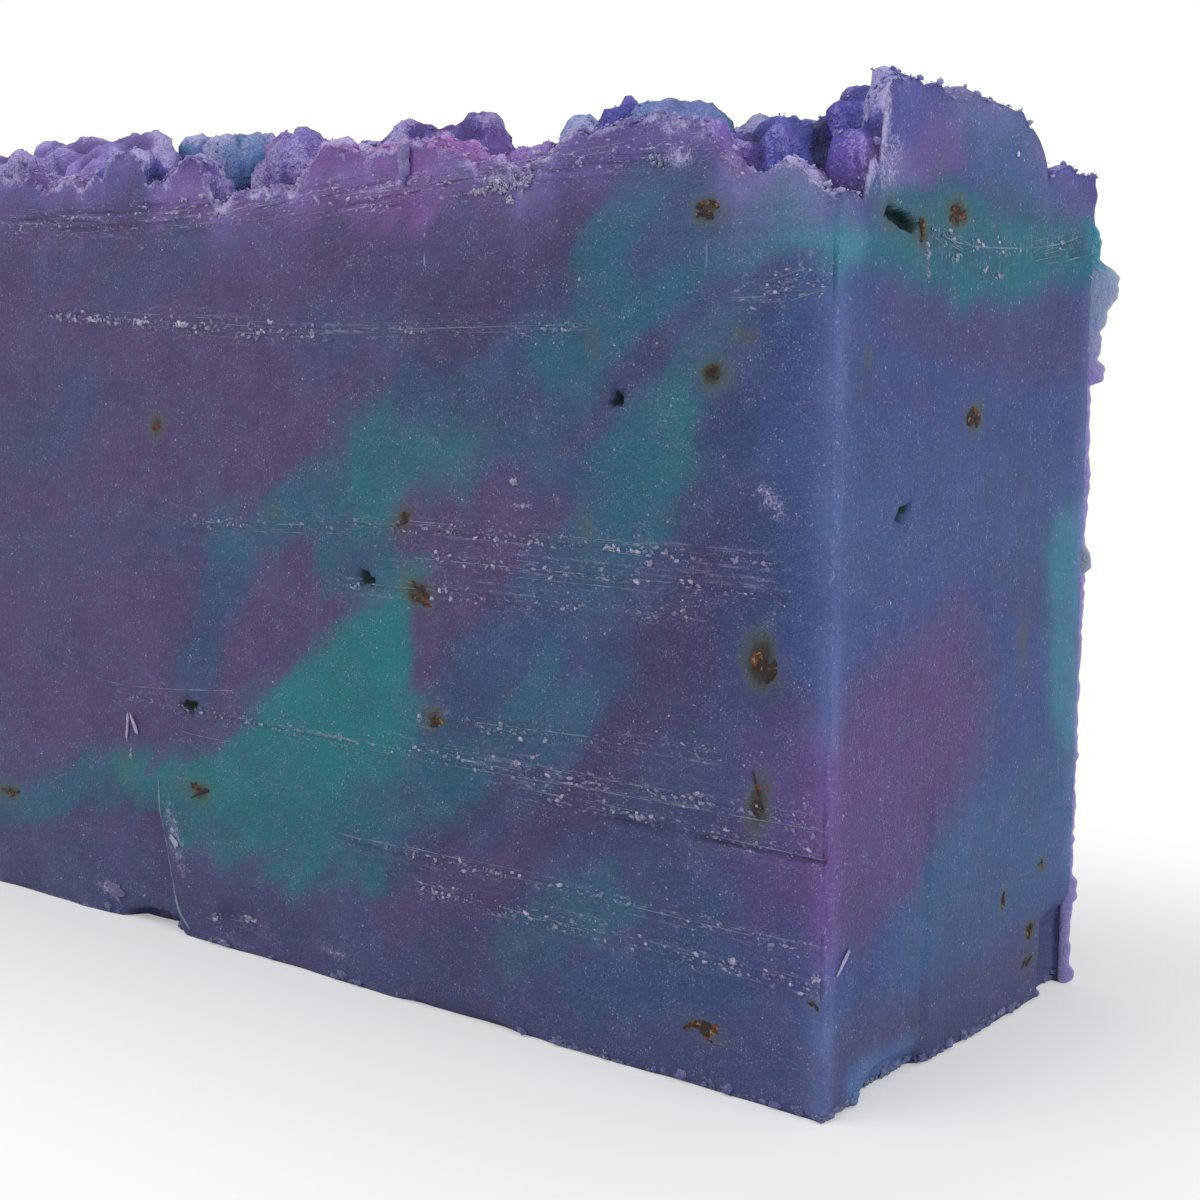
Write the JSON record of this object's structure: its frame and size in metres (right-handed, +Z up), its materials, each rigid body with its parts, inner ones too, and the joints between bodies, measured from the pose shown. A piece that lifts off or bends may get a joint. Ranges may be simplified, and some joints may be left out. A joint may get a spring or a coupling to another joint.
{
  "type": "soap bar",
  "caption": "Rectangular bar of handmade marbled soap with flat cut faces, a flat underside, a ragged crusted top and dried petal flecks set in it.",
  "frame": {"origin": "middle of the underside, on the surface that the bar stands on", "axes": "+X along the bar's length, +Y across its thickness away from the front cut face, +Z up towards the ragged crust"},
  "size_m": [0.088, 0.032, 0.0609],
  "materials": {
    "soap": "waxy, matte to satin, marbled violet, blue and teal",
    "petal": "dry, matt, dark brown"
  },
  "bodies": {
    "root": {"soap_bar": "soap", "petal_flecks": "petal"}
  },
  "joints": []
}
